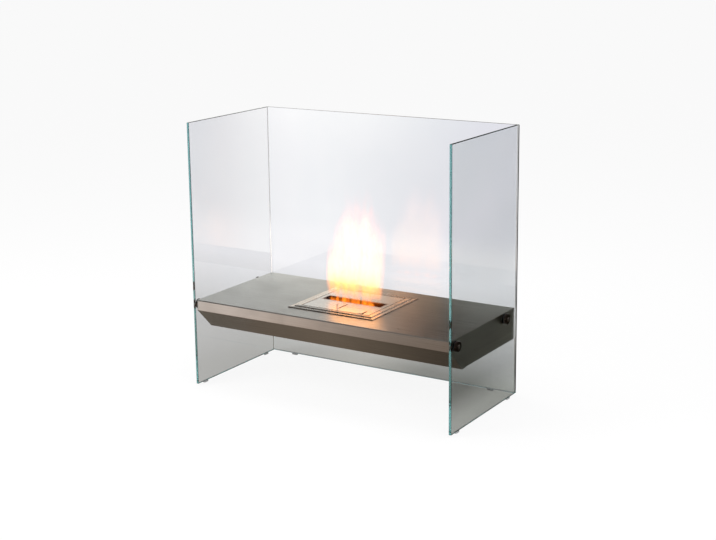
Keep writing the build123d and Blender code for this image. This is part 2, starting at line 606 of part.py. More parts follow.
for side, name in ((-1, "left"), (1, "right")):
    panel_x = sorted((side * GLASS_INNER, side * GLASS_OUTER))
    save(glass_panel(panel_x, (FRONT, SIDE_REAR), side_fixing_places(side)), f"glass_panel_{name}")
    middle_x = side * (GLASS_OUTER - GLASS_THICKNESS / 2)
    foot_ys = (FRONT + SIDE_FOOT_INSET, SIDE_REAR - SIDE_FOOT_INSET)
    save(Compound([foot(middle_x, y, False) for y in foot_ys]), f"feet_{name}")
    save(corner_joint(side), f"corner_joint_{name}")
    save(end_plate(side), f"hearth_end_plate_{name}")
    for kind, solids in fixing_set(side_fixing_places(side), END_PLATE, GLASS_TO_HEARTH).items():
        save(Compound(solids), f"fixing_{kind}_{name}")
    save(guide(side), f"shutter_guide_{name}")

back_foot_x = GLASS_OUTER - BACK_FOOT_INSET
back_foot_y = (BACK_FACE + BACK_OUTER) / 2
save(Compound([foot(x, back_foot_y, True) for x in (-back_foot_x, back_foot_x)]), "feet_back")
for kind, solids in fixing_set(back_fixing_places(), SHEET, GLASS_TO_HEARTH + SHEET).items():
    save(Compound(solids), f"fixing_{kind}_back")

save(hearth_shell(), "hearth_shell")
save(hearth_base(), "hearth_base")
save(deck_stiffener(BURNER_Y - STIFFENER_REACH, -1), "deck_stiffener_front")
save(deck_stiffener(BURNER_Y + STIFFENER_REACH, 1), "deck_stiffener_rear")
shell_screws = [small_screw(p, 2 * SHEET) for p in SHELL_SCREWS]
end_screws = [small_screw(p, SHEET + END_PLATE) for p in END_SCREWS]
save(Compound(shell_screws + end_screws), "base_screws")
shell_nuts = [small_nut(p, 2 * SHEET) for p in SHELL_SCREWS]
end_nuts = [small_nut(p, SHEET + END_PLATE) for p in END_SCREWS]
save(Compound(shell_nuts + end_nuts), "base_nuts")
save(surround(), "burner_surround")
save(burner_well(), "burner_well")
stud_end = -SMALL_NUT_HEIGHT - SMALL_TIP
studs = [rod(p, UP, SMALL_SCREW / 2, stud_end, WELL_WALL) for p in well_stud_places()]
save(Compound(studs), "well_studs")
save(Compound([small_nut(p, -SMALL_NUT_HEIGHT) for p in well_stud_places()]), "well_nuts")

save(rim(), "burner_rim")
save(tank(), "fuel_tank")
save(lid(), "burner_lid")
save(shutter(), "shutter")
save(shutter_tab(), "shutter_tab")
save(Compound([tab_rivet(p) for p in tab_rivet_places()]), "shutter_tab_rivets")
save(trough(), "flame_trough")
save(wick(), "wick_strip")
save(absorber(), "fuel_absorber")
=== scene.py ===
import json
import math

import bpy
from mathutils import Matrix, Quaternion, Vector


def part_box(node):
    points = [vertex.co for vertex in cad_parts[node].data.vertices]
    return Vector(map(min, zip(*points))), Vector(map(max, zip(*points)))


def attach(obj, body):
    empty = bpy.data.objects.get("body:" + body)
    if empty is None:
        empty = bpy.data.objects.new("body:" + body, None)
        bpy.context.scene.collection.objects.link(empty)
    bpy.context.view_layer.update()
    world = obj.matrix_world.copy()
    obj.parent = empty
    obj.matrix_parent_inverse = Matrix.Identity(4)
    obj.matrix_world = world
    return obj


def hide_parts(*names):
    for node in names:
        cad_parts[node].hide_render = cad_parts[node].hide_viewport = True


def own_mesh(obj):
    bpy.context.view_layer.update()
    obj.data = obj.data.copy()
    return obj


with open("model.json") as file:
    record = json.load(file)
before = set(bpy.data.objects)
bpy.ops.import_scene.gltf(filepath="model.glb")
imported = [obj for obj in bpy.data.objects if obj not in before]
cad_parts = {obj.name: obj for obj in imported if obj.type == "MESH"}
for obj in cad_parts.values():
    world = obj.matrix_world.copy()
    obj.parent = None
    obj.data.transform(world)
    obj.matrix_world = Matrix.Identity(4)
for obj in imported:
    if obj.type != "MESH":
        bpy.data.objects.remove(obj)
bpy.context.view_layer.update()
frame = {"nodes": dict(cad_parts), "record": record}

# ---------------------------------------- sizes, in metres

PHOTO_WIDTH = 716.0            # pixels across the photograph
FOCAL_PIXELS = 1386.6          # focal length in those pixels
SENSOR_WIDTH = 36.0            # millimetres
CAMERA_PLACE = (2.6502, -4.2120, 1.7205)
CAMERA_AZIMUTH = math.radians(31.966)
CAMERA_ELEVATION = math.radians(12.701)
CAMERA_ROLL = math.radians(-0.670)
CAMERA_SHIFT_UP = -0.05        # share of the picture's width

SLOT_MIDDLE = (0.0, 0.005, 0.342)        # flame slot in the lid
SLOT_HALF_SIZE = (0.125, 0.024, 0.05)    # its last value is how far its heat reaches up and down
RAISED_LID_TOP = 0.392         # above the floor; the flames lean only above it

SCENE = bpy.context.scene


# ---------------------------------------- node trees

class Graph:
    """Adds nodes to a tree. An input takes a value, or a link where it is given a socket."""

    def __init__(self, tree):
        self.tree = tree

    def add(self, kind, inputs=None, **settings):
        made = self.tree.nodes.new(kind)
        for name, value in settings.items():
            setattr(made, name, value)
        self.fill(made.inputs, inputs or {})
        return made

    def first(self, kind, inputs=None, **settings):
        """The first output of a new node."""
        return self.add(kind, inputs, **settings).outputs[0]

    def fill(self, sockets, values):
        for key, value in values.items():
            self.feed(sockets[key], value)

    def feed(self, socket, value):
        if isinstance(value, bpy.types.NodeSocket):
            self.tree.links.new(value, socket)
        else:
            socket.default_value = value

    def math(self, operation, *values):
        return self.first("ShaderNodeMath", dict(enumerate(values)), operation=operation)

    def times(self, product, *others):
        for other in others:
            product = self.math("MULTIPLY", product, other)
        return product

    def vector(self, operation, *values):
        made = self.add("ShaderNodeVectorMath", dict(enumerate(values)), operation=operation)
        return made.outputs["Value" if operation in ("LENGTH", "DOT_PRODUCT") else "Vector"]

    def scaled(self, vector, factor):
        return self.first("ShaderNodeVectorMath", {0: vector, "Scale": factor}, operation="SCALE")

    def held(self, place, low, high):
        """The place, brought inside the box from low to high."""
        return self.vector("MINIMUM", self.vector("MAXIMUM", place, low), high)

    def axes(self, vector):
        return self.add("ShaderNodeSeparateXYZ", {"Vector": vector}).outputs

    def joined(self, **axes):
        return self.first("ShaderNodeCombineXYZ", axes)

    def spread(self, value, low, high, start=0.0, end=1.0, way="LINEAR"):
        """From start where value is low to end where it is high, and level beyond them."""
        inputs = {"Value": value, "From Min": low, "From Max": high, "To Min": start, "To Max": end}
        return self.add("ShaderNodeMapRange", inputs, interpolation_type=way).outputs["Result"]

    def smooth(self, value, low, high, start=0.0, end=1.0):
        """The same as a soft step."""
        return self.spread(value, low, high, start, end, "SMOOTHSTEP")

    def blend(self, share, first, second, way="MIX"):
        """A colour between two colours."""
        made = self.add("ShaderNodeMix", data_type="RGBA", blend_type=way)
        for socket, value in ((0, share), (6, first), (7, second)):
            self.feed(made.inputs[socket], value)
        return made.outputs[2]

    def ramp(self, value, stops, interpolation="LINEAR"):
        """A colour that changes with value; stops are (place, colour)."""
        made = self.add("ShaderNodeValToRGB", {"Fac": value})
        made.color_ramp.interpolation = interpolation
        points = made.color_ramp.elements
        while len(points) < len(stops):
            points.new(0.5)
        for point, (place, shade) in zip(points, stops):
            point.position = place
            point.color = (*shade, 1.0)
        return made.outputs["Color"]

    def noise(self, place, scale, detail=3.0, roughness=0.5, output=0):
        inputs = {"Vector": place, "Scale": scale, "Detail": detail, "Roughness": roughness}
        return self.add("ShaderNodeTexNoise", inputs).outputs[output]


def colour(red, green, blue):
    return (red, green, blue, 1.0)


def shader_group(name, inputs, outputs):
    """A shader node group; inputs and outputs are {name: socket kind}."""
    tree = bpy.data.node_groups.new(name, "ShaderNodeTree")
    for sockets, way in ((inputs, "INPUT"), (outputs, "OUTPUT")):
        for socket, kind in sockets.items():
            tree.interface.new_socket(name=socket, in_out=way, socket_type="NodeSocket" + kind)
    graph = Graph(tree)
    return graph, graph.add("NodeGroupInput").outputs, graph.add("NodeGroupOutput").inputs


def emptied(owner):
    """The graph of a material or a world, with no nodes in it."""
    owner.use_nodes = True
    owner.node_tree.nodes.clear()
    return Graph(owner.node_tree)


# ---------------------------------------- effects that several finishes share

OXIDE_BANDS = [(0.0, (0.30, 0.32, 0.44)), (0.22, (0.42, 0.27, 0.26)), (0.45, (0.66, 0.44, 0.24)),
               (0.75, (0.86, 0.74, 0.54)), (1.0, (1.0, 1.0, 1.0))]


def make_brushed_grain():
    """Long fine lines, as an abrasive belt leaves them along X."""
    inputs = {"Coordinates": "Vector", "Line Length": "Float", "Line Width": "Float"}
    graph, given, out = shader_group("brushed_grain", inputs, {"Streak": "Float", "Height": "Float"})
    along = graph.math("DIVIDE", 1.0, given["Line Length"])
    across = graph.math("DIVIDE", 1.0, given["Line Width"])
    place = graph.vector("MULTIPLY", given["Coordinates"], graph.joined(X=along, Y=across, Z=across))
    fine = graph.noise(place, 1.0, detail=3.0, roughness=0.7)
    broad = graph.noise(graph.vector("MULTIPLY", place, (0.35, 0.12, 0.12)), 1.0, detail=2.0)
    mixed = graph.math("ADD", graph.times(fine, 0.6), graph.times(broad, 0.4))
    graph.fill(out, {"Streak": graph.smooth(mixed, 0.32, 0.68), "Height": fine})
    return graph.tree


def make_handling_marks():
    """Soft cloudy patches where a surface was wiped and handled."""
    inputs = {"Coordinates": "Vector", "Patch Size": "Float"}
    graph, given, out = shader_group("handling_marks", inputs, {"Mask": "Float"})
    scale = graph.math("DIVIDE", 1.0, given["Patch Size"])
    patches = graph.noise(given["Coordinates"], scale, detail=4.0, roughness=0.6)
    graph.feed(out["Mask"], graph.smooth(patches, 0.42, 0.66))
    return graph.tree


def make_heat_tint():
    """Straw, brown and blue bands of oxide round a hot opening, given as a box."""
    inputs = {"Coordinates": "Vector", "Centre": "Vector", "Half Size": "Vector", "Reach": "Float"}
    graph, given, out = shader_group("heat_tint", inputs, {"Heat": "Float", "Tint": "Color"})
    offset = graph.vector("ABSOLUTE", graph.vector("SUBTRACT", given["Coordinates"], given["Centre"]))
    outside = graph.vector("MAXIMUM", graph.vector("SUBTRACT", offset, given["Half Size"]), (0.0, 0.0, 0.0))
    distance = graph.vector("LENGTH", outside)
    wander = graph.math("SUBTRACT", graph.noise(given["Coordinates"], 45.0, detail=3.0), 0.5)
    share = graph.math("DIVIDE", distance, given["Reach"])
    share = graph.math("ADD", share, graph.times(wander, 0.35))
    heat = graph.smooth(share, 0.0, 1.0, 1.0, 0.0)
    graph.fill(out, {"Heat": heat, "Tint": graph.ramp(share, OXIDE_BANDS)})
    return graph.tree


def make_seam_soot_and_shade():
    """A dark line along the outline of a box seen from above: sooting, and painted shade in the gaps and
    steps there.
    """
    inputs = {"Coordinates": "Vector", "Half Size": "Vector", "Width": "Float"}
    graph, given, out = shader_group("seam_soot_and_shade", inputs, {"Mask": "Float"})
    flat = graph.vector("MULTIPLY", given["Coordinates"], (1.0, 1.0, 0.0))
    past = graph.axes(graph.vector("SUBTRACT", graph.vector("ABSOLUTE", flat), given["Half Size"]))
    edge = graph.math("ABSOLUTE", graph.math("MAXIMUM", past["X"], past["Y"]))
    uneven = graph.spread(graph.noise(given["Coordinates"], 130.0, detail=3.0), 0.3, 0.7, 0.7, 1.3)
    share = graph.math("DIVIDE", graph.times(edge, uneven), given["Width"])
    graph.feed(out["Mask"], graph.smooth(share, 0.25, 1.0, 1.0, 0.0))
    return graph.tree


def make_turned_rings():
    """Fine rings round two centres that stand a spread either side of the middle."""
    inputs = {"Coordinates": "Vector", "Middle": "Vector", "Spread": "Vector", "Ring Width": "Float"}
    graph, given, out = shader_group("turned_rings", inputs, {"Ring": "Float", "Radius": "Float"})
    offset = graph.vector("ABSOLUTE", graph.vector("SUBTRACT", given["Coordinates"], given["Middle"]))
    radius = graph.vector("LENGTH", graph.vector("SUBTRACT", offset, given["Spread"]))
    turns = graph.joined(X=graph.math("DIVIDE", radius, given["Ring Width"]))
    graph.fill(out, {"Ring": graph.noise(turns, 1.0, detail=2.0, roughness=0.6), "Radius": radius})
    return graph.tree


def make_fibre_tangle():
    """Short crossing fibres with pits between them."""
    inputs = {"Coordinates": "Vector", "Fibre Size": "Float"}
    graph, given, out = shader_group("fibre_tangle", inputs, {"Fibre": "Float", "Pits": "Float"})
    place = graph.scaled(given["Coordinates"], graph.math("DIVIDE", 1.0, given["Fibre Size"]))
    bent = graph.vector("ADD", place, graph.noise(place, 0.4, detail=2.0, output=1))
    stretches = [graph.noise(graph.vector("MULTIPLY", bent, way), 1.0, detail=3.0, roughness=0.6)
                 for way in ((0.25, 1.6, 1.6), (1.6, 0.25, 1.6), (1.6, 1.6, 0.25))]
    crossing = graph.math("MAXIMUM", graph.math("MAXIMUM", stretches[0], stretches[1]), stretches[2])
    pits = graph.smooth(graph.noise(place, 0.12, detail=3.0), 0.3, 0.7)
    graph.fill(out, {"Fibre": graph.smooth(crossing, 0.45, 0.75), "Pits": pits})
    return graph.tree


BRUSHED_GRAIN = make_brushed_grain()
HANDLING_MARKS = make_handling_marks()
HEAT_TINT = make_heat_tint()
SEAM_SOOT_AND_SHADE = make_seam_soot_and_shade()
TURNED_RINGS = make_turned_rings()
FIBRE_TANGLE = make_fibre_tangle()


# ---------------------------------------- finishes

BLACK = colour(0.0, 0.0, 0.0)
MIDDLE = (0.0, 0.0, 0.0)
# Sooting and painted shade in one dark brown, along the seams
SOOT_AND_SHADE = colour(0.17, 0.095, 0.060)
SOOT_AND_SHADE_COVER = 0.68              # how much of the tone the sooting and painted shade hide
HEAT_COVER = 0.75              # how much of it the heat's bands hide
GRAIN_DEPTH = 0.000015
MITRE_LINE = 0.0002            # half the width of the mitre between two trim strips
DISC_RIM_SHADE = (0.015, 0.0195)    # radii between which a fixing disc darkens towards its rim, a painted shade
GLASS_FOOT = (0.0085, 0.0105)  # heights between which the glass clears above its grey foot
PAINTED_GLOW_MIDDLE = (-0.015, 0.0, 0.0)
PAINTED_GLOW_REACH = (0.055, 0.100)   # the painted glow fades between these distances from it, along the wick


def new_finish(name):
    """An empty material: its graph, its Principled shader's inputs and its object coordinates."""
    material = bpy.data.materials.new(name)
    graph = emptied(material)
    shader = graph.add("ShaderNodeBsdfPrincipled")
    graph.add("ShaderNodeOutputMaterial", {"Surface": shader.outputs[0]})
    place = graph.add("ShaderNodeTexCoord").outputs["Object"]
    return material, graph, shader.inputs, place


def use(graph, tree, inputs):
    """The outputs of a shared effect."""
    made = graph.add("ShaderNodeGroup", node_tree=tree)
    graph.fill(made.inputs, inputs)
    return made.outputs


def marks_on(graph, place, size):
    """Where a surface was handled, in patches of that size."""
    return use(graph, HANDLING_MARKS, {"Coordinates": place, "Patch Size": size})["Mask"]


def bump(graph, height, distance):
    return graph.first("ShaderNodeBump", {"Height": height, "Distance": distance})


def sooted_and_shaded(graph, place, tone, seams):
    """The tone darkened along the outlines in seams, each (centre, half size, width): sooting and painted
    shade.
    """
    for centre, half, width in seams:
        offset = graph.vector("SUBTRACT", place, centre)
        soot_and_shade = use(graph, SEAM_SOOT_AND_SHADE, {"Coordinates": offset, "Half Size": half, "Width": width})
        tone = graph.blend(graph.times(soot_and_shade["Mask"], SOOT_AND_SHADE_COVER), tone, SOOT_AND_SHADE)
    return tone


def brushed_steel(name, dark, light, rough, line=(0.14, 0.00035), turn=0.0, heat=None, seams=()):
    """Brushed sheet. rough is (least, most); line is a scratch's (length, width).

    heat is (centre, half size, reach) of a hot opening; seams are as in sooted."""
    material, graph, shader, place = new_finish(name)
    turned = graph.first("ShaderNodeMapping", {"Vector": place, "Rotation": (0.0, 0.0, turn)})
    scratch = {"Coordinates": turned, "Line Length": line[0], "Line Width": line[1]}
    grain = use(graph, BRUSHED_GRAIN, scratch)
    marks = marks_on(graph, place, 0.11)
    tone = graph.blend(grain["Streak"], colour(*dark), colour(*light))
    tone = graph.blend(graph.times(marks, 0.10), tone, colour(*dark))
    if heat is not None:
        opening = dict(zip(("Centre", "Half Size", "Reach"), heat))
        hot = use(graph, HEAT_TINT, {"Coordinates": place, **opening})
        tone = graph.blend(graph.times(hot["Heat"], HEAT_COVER), tone, hot["Tint"], way="MULTIPLY")
    worn = graph.math("ADD", grain["Streak"], graph.times(marks, 0.5))
    graph.fill(shader, {
        "Base Color": sooted_and_shaded(graph, place, tone, seams), "Metallic": 1.0,
        "Roughness": graph.spread(worn, 0.0, 1.5, *rough),
        "Normal": bump(graph, grain["Height"], GRAIN_DEPTH)})
    return material


def mitred_trim(name, half, seams):
    """A mitred frame: each strip is brushed along its own length, the front and rear ones darker. The side
    strips' bright peach is a painted sheen of the flames' light.
    """
    material, graph, shader, place = new_finish(name)
    rotation = (0.0, 0.0, math.radians(90))
    quarter = graph.first("ShaderNodeMapping", {"Vector": place, "Rotation": rotation})
    along, across = (
        use(graph, BRUSHED_GRAIN, {"Coordinates": way, "Line Length": 0.06, "Line Width": 0.0003})
        for way in (place, quarter))
    inward = graph.axes(graph.vector("SUBTRACT", half, graph.vector("ABSOLUTE", place)))
    front = graph.smooth(graph.math("SUBTRACT", inward["X"], inward["Y"]), -MITRE_LINE, MITRE_LINE)
    lengthwise = graph.blend(along["Streak"], colour(0.40, 0.375, 0.355), colour(0.55, 0.515, 0.485))
    # painted sheen: the side strips' bright peach tone is the flames' light painted on, not the steel's own
    # colour
    crosswise_painted_sheen = graph.blend(across["Streak"], colour(0.84, 0.735, 0.65), colour(1.0, 0.885, 0.785))
    tone = graph.blend(front, crosswise_painted_sheen, lengthwise)
    height = graph.blend(front, across["Height"], along["Height"])
    graph.fill(shader, {
        "Base Color": sooted_and_shaded(graph, place, tone, seams), "Metallic": 1.0,
        "Roughness": graph.spread(marks_on(graph, place, 0.05), 0.0, 1.0, 0.24, 0.36),
        "Normal": bump(graph, height, GRAIN_DEPTH)})
    return material


def turned_steel(name, middle, spread):
    """Turned and polished discs, painted near black and brown for the dark surroundings they mirror, with
    painted brown glints and a painted darker rim.
    """
    material, graph, shader, place = new_finish(name)
    rings = use(graph, TURNED_RINGS,
                {"Coordinates": place, "Middle": middle, "Spread": spread, "Ring Width": 0.00045})
    # near-black brown tones: a painted reflection of dark surroundings with brown glints, not the steel's own
    # colour
    tone = graph.blend(rings["Ring"], colour(0.085, 0.052, 0.038), colour(0.25, 0.165, 0.125))
    rim = graph.smooth(rings["Radius"], *DISC_RIM_SHADE)
    graph.fill(shader, {
        "Base Color": graph.blend(rim, tone, colour(0.06, 0.042, 0.035)), "Metallic": 1.0,
        "Roughness": graph.spread(marks_on(graph, place, 0.012), 0.0, 1.0, 0.16, 0.30),
        "Normal": bump(graph, rings["Ring"], 0.00003)})
    return material


def clear_glass():
    """Toughened float glass: faint roller waves and wipe marks, green through its depth, grey at its foot."""
    material, graph, shader, place = new_finish("clear_glass")
    waves = graph.noise(graph.vector("MULTIPLY", place, (1.0, 1.0, 3.5)), 1.4, detail=1.0)
    wiped = marks_on(graph, place, 0.16)
    tone = graph.blend(wiped, colour(0.992, 1.0, 0.996), colour(0.978, 0.990, 0.988))
    above_foot = graph.smooth(graph.axes(place)["Z"], *GLASS_FOOT)
    graph.fill(shader, {
        "Base Color": graph.blend(above_foot, colour(0.36, 0.37, 0.37), tone), "Roughness": 0.0,
        "IOR": 1.52, "Transmission Weight": 1.0, "Normal": bump(graph, waves, 0.00006)})
    green = {"Color": colour(0.81, 0.925, 0.92), "Density": 13.0}
    output = graph.tree.get_output_node("ALL")
    graph.feed(output.inputs["Volume"], graph.first("ShaderNodeVolumeAbsorption", green))
    return material


def silicone(name, tone, rough, cover):
    """Clear or milky silicone with small swirls; cover is how much of what lies behind it hides."""
    material, graph, shader, place = new_finish(name)
    swirl = graph.noise(place, 260.0, detail=3.0)
    graph.fill(shader, {
        "Base Color": graph.blend(swirl, colour(*tone), colour(*(0.8 * t for t in tone))),
        "Roughness": graph.spread(swirl, 0.2, 0.8, rough, rough + 0.15), "IOR": 1.41,
        "Alpha": graph.spread(swirl, 0.2, 0.8, cover, cover + 0.12),
        "Normal": bump(graph, swirl, 0.00005)})
    return material


def soft_black():
    """Matt black elastomer with a fine moulded tooth."""
    material, graph, shader, place = new_finish("black_gasket")
    tooth = graph.noise(place, 2600.0, detail=2.0)
    dust = marks_on(graph, place, 0.006)
    graph.fill(shader, {
        "Base Color": graph.blend(dust, colour(0.022, 0.022, 0.023), colour(0.055, 0.054, 0.052)),
        "Roughness": graph.spread(tooth, 0.2, 0.8, 0.55, 0.8),
        "Normal": bump(graph, tooth, 0.00004)})
    return material


def nylon():
    """Natural nylon, slightly yellow, faintly clouded."""
    material, graph, shader, place = new_finish("nylon_bush")
    cloud = graph.noise(place, 420.0, detail=3.0)
    graph.fill(shader, {
        "Base Color": graph.blend(cloud, colour(0.70, 0.68, 0.60), colour(0.80, 0.79, 0.74)),
        "Roughness": graph.spread(cloud, 0.2, 0.8, 0.35, 0.5), "Subsurface Weight": 0.2,
        "Normal": bump(graph, cloud, 0.00004)})
    return material


def bright_fastener():
    """Cold-headed stainless, faintly mottled, with a fine tooth."""
    material, graph, shader, place = new_finish("screw_steel")
    mottle = marks_on(graph, place, 0.004)
    tooth = graph.noise(place, 3200.0, detail=2.0)
    graph.fill(shader, {
        "Base Color": graph.blend(mottle, colour(0.62, 0.60, 0.58), colour(0.46, 0.44, 0.42)),
        "Metallic": 1.0, "Roughness": graph.spread(tooth, 0.2, 0.8, 0.18, 0.34),
        "Normal": bump(graph, tooth, 0.00001)})
    return material


def ceramic_fibre(name, scorch_from, scorch_to):
    """Cream ceramic fibre, scorched from one height to another, with a painted orange glow in its pits there.
    """
    material, graph, shader, place = new_finish(name)
    tangle = use(graph, FIBRE_TANGLE, {"Coordinates": place, "Fibre Size": 0.0009})
    ragged = graph.math("ADD", graph.axes(place)["Z"], graph.times(tangle["Pits"], 0.004))
    scorch = graph.smooth(ragged, scorch_from, scorch_to)
    clean = graph.blend(tangle["Fibre"], colour(0.52, 0.47, 0.40), colour(0.80, 0.76, 0.69))
    stain = graph.times(marks_on(graph, place, 0.03), 0.4)
    clean = graph.blend(stain, clean, colour(0.46, 0.38, 0.29))
    burnt = graph.blend(tangle["Fibre"], colour(0.030, 0.024, 0.020), colour(0.20, 0.15, 0.11))
    aside = graph.axes(graph.vector("ABSOLUTE", graph.vector("SUBTRACT", place, PAINTED_GLOW_MIDDLE)))["X"]
    # painted glow: orange emission where the flames' light falls on the scorched fibre, brightest in the
    # middle
    painted_glow = graph.times(scorch, graph.smooth(tangle["Pits"], 0.25, 0.75, 0.12, 1.0),
                         graph.smooth(aside, *PAINTED_GLOW_REACH, 1.0, 0.0))
    graph.fill(shader, {
        "Base Color": graph.blend(scorch, clean, burnt),
        "Emission Color": graph.blend(painted_glow, BLACK, colour(1.0, 0.22, 0.012)), "Emission Strength": 0.85,
        "Roughness": graph.spread(tangle["Fibre"], 0.0, 1.0, 0.98, 0.86),
        "Normal": bump(graph, tangle["Fibre"], 0.0005)})
    return material


def middle_and_spread(node):
    """The middle of a pair of discs, and how far each one's centre stands from it."""
    low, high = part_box(node)
    half = (high - low) / 2
    disc_radius = half.z
    spread = (max(0.0, half.x - disc_radius) if half.x > half.y else 0.0,
              max(0.0, half.y - disc_radius) if half.y > half.x else 0.0, 0.0)
    return tuple((low + high) / 2), spread


def half_size(node):
    low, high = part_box(node)
    return tuple((high - low) / 2)


def outline(node, width):
    """A seam along a node's outline."""
    return (MIDDLE, half_size(node), width)


def side_lines(node, width, clear=0.02):
    """A seam along a node's left and right edges alone: its front and rear lines fall clear of the node."""
    across, deep, high = half_size(node)
    return (MIDDLE, (across, deep + clear, high), width)


# These seams are sooting and painted shade in the gaps and steps round the trim, lid, slit and notch
RIM_SEAM = side_lines("burner_rim", 0.0022)
LID_SEAM = outline("burner_lid", 0.0016)
SLIT_SEAM = ((0.0, -0.075, 0.0), (0.0024, 0.029, 1.0), 0.0022)
NOTCH_SEAM = ((0.1125, -0.107, 0.0), (0.0025, 0.0143, 1.0), 0.0026)
TRIM_SEAMS = {"burner_surround": [side_lines("burner_surround", 0.0024), RIM_SEAM],
              "burner_rim": [RIM_SEAM, LID_SEAM]}

FINISHES = {
    "clear_glass": clear_glass(),
    "clear_silicone": silicone("clear_silicone", (0.86, 0.88, 0.93), 0.18, 0.05),
    "clear_pad": silicone("clear_pad", (0.40, 0.41, 0.42), 0.25, 0.60),
    # the deck's wide seam round the trim's foot is sooting and a painted shadow band
    "hearth_steel": brushed_steel("hearth_steel", (0.44, 0.425, 0.405), (0.58, 0.565, 0.545), (0.26, 0.40),
                                  seams=[outline("burner_surround", 0.0055)]),
    # burner_steel is painted brighter and warmer than the deck's steel: painted light from the flames on the
    # lid
    "burner_steel": brushed_steel("burner_steel", (0.82, 0.775, 0.74), (0.97, 0.93, 0.895), (0.24, 0.36),
                                  line=(0.08, 0.0003), heat=(SLOT_MIDDLE, SLOT_HALF_SIZE, 0.012),
                                  seams=[LID_SEAM, SLIT_SEAM, NOTCH_SEAM]),
    "inner_steel": brushed_steel("inner_steel", (0.38, 0.38, 0.37), (0.52, 0.52, 0.51), (0.34, 0.50),
                                 line=(0.05, 0.0008)),
    "heated_steel": brushed_steel("heated_steel", (0.26, 0.20, 0.16), (0.44, 0.34, 0.27), (0.34, 0.55),
                                  line=(0.03, 0.0008), heat=(SLOT_MIDDLE, SLOT_HALF_SIZE, 0.05)),
    "screw_steel": bright_fastener(),
    "black_gasket": soft_black(),
    "nylon_bush": nylon(),
}
# The end plates' steel: a darker, warmer copy of the hearth steel with its grain turned, painted shade for
# the dim surroundings they mirror
END_PLATE_SHADED_STEEL = brushed_steel("hearth_steel_cross_shaded", (0.40, 0.385, 0.35), (0.53, 0.515, 0.47),
                                (0.28, 0.42), turn=math.radians(90))


def dress_frame():
    """Gives each carried-over node the finish of its slot; the fibre nodes are replaced further on."""
    for part in frame["record"]["subparts"]:
        name = part["node"]
        if part["material_slot"] == "ceramic_fibre":
            continue
        if part["material_slot"] == "fixing_steel":
            finish = turned_steel("turned_" + name, *middle_and_spread(name))
        elif name in TRIM_SEAMS:
            finish = mitred_trim(name + "_steel", half_size(name), TRIM_SEAMS[name])
        elif name.startswith("hearth_end_plate"):
            finish = END_PLATE_SHADED_STEEL
        else:
            finish = FINISHES[part["material_slot"]]
        for slot in frame["nodes"][name].material_slots:
            slot.material = finish


dress_frame()


# ---------------------------------------- geometry node trees

def geometry_tree(name, inputs):
    """A geometry node tree; inputs are {name: (socket kind, value)}. It puts out one geometry."""
    tree = bpy.data.node_groups.new(name, "GeometryNodeTree")
    for socket, (kind, value) in inputs.items():
        made = tree.interface.new_socket(name=socket, in_out="INPUT", socket_type="NodeSocket" + kind)
        if value is not None:
            made.default_value = value
    tree.interface.new_socket(name="Geometry", in_out="OUTPUT", socket_type="NodeSocketGeometry")
    graph = Graph(tree)
    return graph, graph.add("NodeGroupInput").outputs, graph.add("NodeGroupOutput").inputs["Geometry"]


def grow(name, tree, **values):
    """The tree's result as a plain mesh piece; values are its inputs."""
    piece = bpy.data.objects.new(name, bpy.data.meshes.new(name))
    SCENE.collection.objects.link(piece)
    modifier = piece.modifiers.new(name, "NODES")
    modifier.node_group = tree
    for item in tree.interface.items_tree:
        if item.item_type == "SOCKET" and item.in_out == "INPUT" and item.name in values:
            modifier[item.identifier] = values[item.name]
    bpy.context.view_layer.update()
    whole = piece.evaluated_get(bpy.context.evaluated_depsgraph_get())
    mesh = bpy.data.meshes.new_from_object(whole)
    piece.modifiers.clear()
    piece.data = mesh
    mesh.name = name
    return piece


def curve_of(graph, value, points):
    """value carried through a smooth curve of (place, height) points, both from 0 to 1."""
    made = graph.add("ShaderNodeFloatCurve", {"Value": value})
    line = made.mapping.curves[0]
    for place, height in points[1:-1]:
        line.points.new(place, height)
    line.points[0].location = points[0]
    line.points[-1].location = points[-1]
    made.mapping.update()
    return made.outputs[0]


def random_between(graph, low, high, key, seed, draw=0):
    """A random value for each key; each draw from one seed is a row of its own."""
    row = graph.math("ADD", seed, draw) if draw else seed
    made = graph.add("FunctionNodeRandomValue", {2: low, 3: high, 7: key, 8: row}, data_type="FLOAT")
    return made.outputs[1]


def moved(graph, geometry, **where):
    """The geometry with its points at Position, or moved by Offset."""
    return graph.first("GeometryNodeSetPosition", {"Geometry": geometry, **where})


def marked(graph, geometry, name, value):
    """The geometry with a value kept on its points under a name, for a material to read."""
    inputs = {"Geometry": geometry, "Name": name, "Value": value}
    return graph.first("GeometryNodeStoreNamedAttribute", inputs, data_type="FLOAT", domain="POINT")


def coated(graph, geometry, material):
    return graph.first("GeometryNodeSetMaterial", {"Geometry": geometry, "Material": material})


# ---------------------------------------- wick and absorber

FULL_TURN = 6.283              # radians
FIBRE_TILT = 0.10              # radians a loose fibre may stand off the surface


